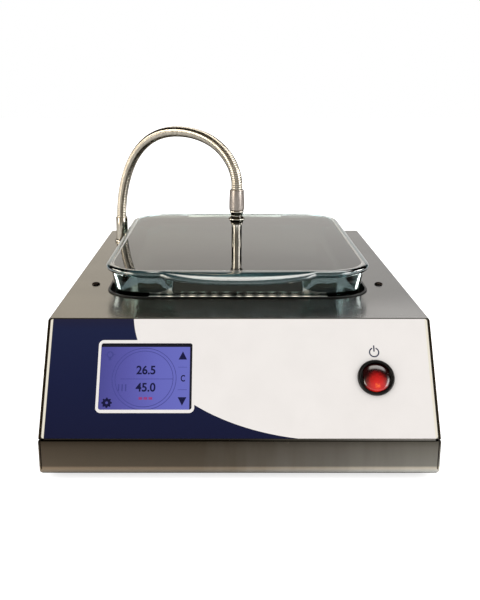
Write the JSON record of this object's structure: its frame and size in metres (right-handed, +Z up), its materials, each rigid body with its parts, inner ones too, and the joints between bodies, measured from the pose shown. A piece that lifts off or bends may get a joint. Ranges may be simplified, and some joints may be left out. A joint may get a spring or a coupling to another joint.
{
  "type": "tissue flotation bath",
  "caption": "Slope-fronted heated steel housing with a lift-out glass water dish, a touch display, a lit rocker switch and a gooseneck temperature probe.",
  "frame": {"origin": "under the middle of the whole object, on the surface that it stands on", "axes": "+Z up, the sloped front faces -Y, +X to the right seen from the front"},
  "size_m": [0.2588, 0.3682, 0.2068],
  "materials": {
    "stainless_steel": "brushed stainless sheet",
    "relay_case": "dark moulded case",
    "terminal_green": "green moulded block",
    "circuit_board": "green circuit board",
    "wire_sleeve": "grey wire sleeve",
    "black_silicone": "black silicone",
    "bright_steel": "polished steel",
    "display_glass": "lit liquid-crystal touch display",
    "rubber": "black rubber",
    "printed_film": "printed polyester film, off-white and navy",
    "tinted_glass": "clear blue-green tinted glass",
    "nickel_tube": "nickel-plated ribbed tube",
    "heater_silicone": "silicone heater mat",
    "aluminium": "plain aluminium",
    "ceramic_fibre": "ceramic fibre felt",
    "led_board": "white board with lights",
    "black_nylon": "black moulded nylon",
    "satin_chrome": "satin chrome",
    "red_lens": "clear red moulding, lit from inside",
    "black_oxide": "blackened steel"
  },
  "bodies": {
    "housing": {"base_pan": "stainless_steel", "board_relay": "relay_case", "board_terminals": "terminal_green", "control_board": "circuit_board", "cover_bracket_left": "stainless_steel", "cover_bracket_right": "stainless_steel", "cutout_lead": "wire_sleeve", "cutout_trim": "black_silicone", "display_board": "circuit_board", "display_cable": "wire_sleeve", "display_nut_1": "bright_steel", "display_nut_2": "bright_steel", "display_nut_3": "bright_steel", "display_nut_4": "bright_steel", "display_panel": "display_glass", "foot_front_left": "rubber", "foot_front_right": "rubber", "foot_rear_left": "rubber", "foot_rear_right": "rubber", "foot_screw_front_left": "bright_steel", "foot_screw_front_right": "bright_steel", "foot_screw_rear_left": "bright_steel", "foot_screw_rear_right": "bright_steel", "front_label": "printed_film", "gooseneck_bush": "bright_steel", "gooseneck_nut": "bright_steel", "heater_lead": "wire_sleeve", "heater_pad": "heater_silicone", "heater_plate": "aluminium", "inlet_screw_left": "bright_steel", "inlet_screw_right": "bright_steel", "insulation_pad": "ceramic_fibre", "led_strip": "led_board", "light_lead": "wire_sleeve", "power_inlet": "black_nylon", "power_supply": "aluminium", "probe_lead": "wire_sleeve", "rear_panel": "stainless_steel", "side_screw_front_left": "bright_steel", "side_screw_front_right": "bright_steel", "side_screw_rear_left": "bright_steel", "side_screw_rear_right": "bright_steel", "supply_lead": "wire_sleeve", "switch_housing": "black_nylon", "switch_lead": "wire_sleeve", "thermal_cutout": "black_nylon", "top_cover": "stainless_steel", "tray_screw_left": "black_oxide", "tray_screw_right": "black_oxide", "well_tray": "stainless_steel"},
    "dish": {"glass_dish": "tinted_glass"},
    "rocker": {"switch_rocker": "red_lens"},
    "gooseneck_foot": {"gooseneck_ferrule": "bright_steel"},
    "gooseneck_arm": {"gooseneck_tube": "nickel_tube", "probe_sleeve": "satin_chrome", "probe_collar": "bright_steel", "probe_rod": "bright_steel"}
  },
  "joints": [
    {"name": "dish_lift", "type": "slide", "parent": "housing", "child": "dish", "axis": [0, 0, 1], "range_m": [0, 0.032]},
    {"name": "power_rocker", "type": "hinge", "parent": "housing", "child": "rocker", "pos_m": [0.0884, -0.16068, 0.06139], "axis": [1, 0, 0], "range_deg": [0, 16]},
    {"name": "gooseneck_swivel", "type": "hinge", "parent": "housing", "child": "gooseneck_foot", "pos_m": [-0.109, 0.1265, 0.0935], "axis": [0, 0, 1], "range_deg": [-28, 8]},
    {"name": "gooseneck_bend", "type": "hinge", "parent": "gooseneck_foot", "child": "gooseneck_arm", "pos_m": [-0.109, 0.1265, 0.1235], "axis": [-0.736, -0.677, 0], "range_deg": [0, 25], "deforming": ["gooseneck_tube"]}
  ]
}
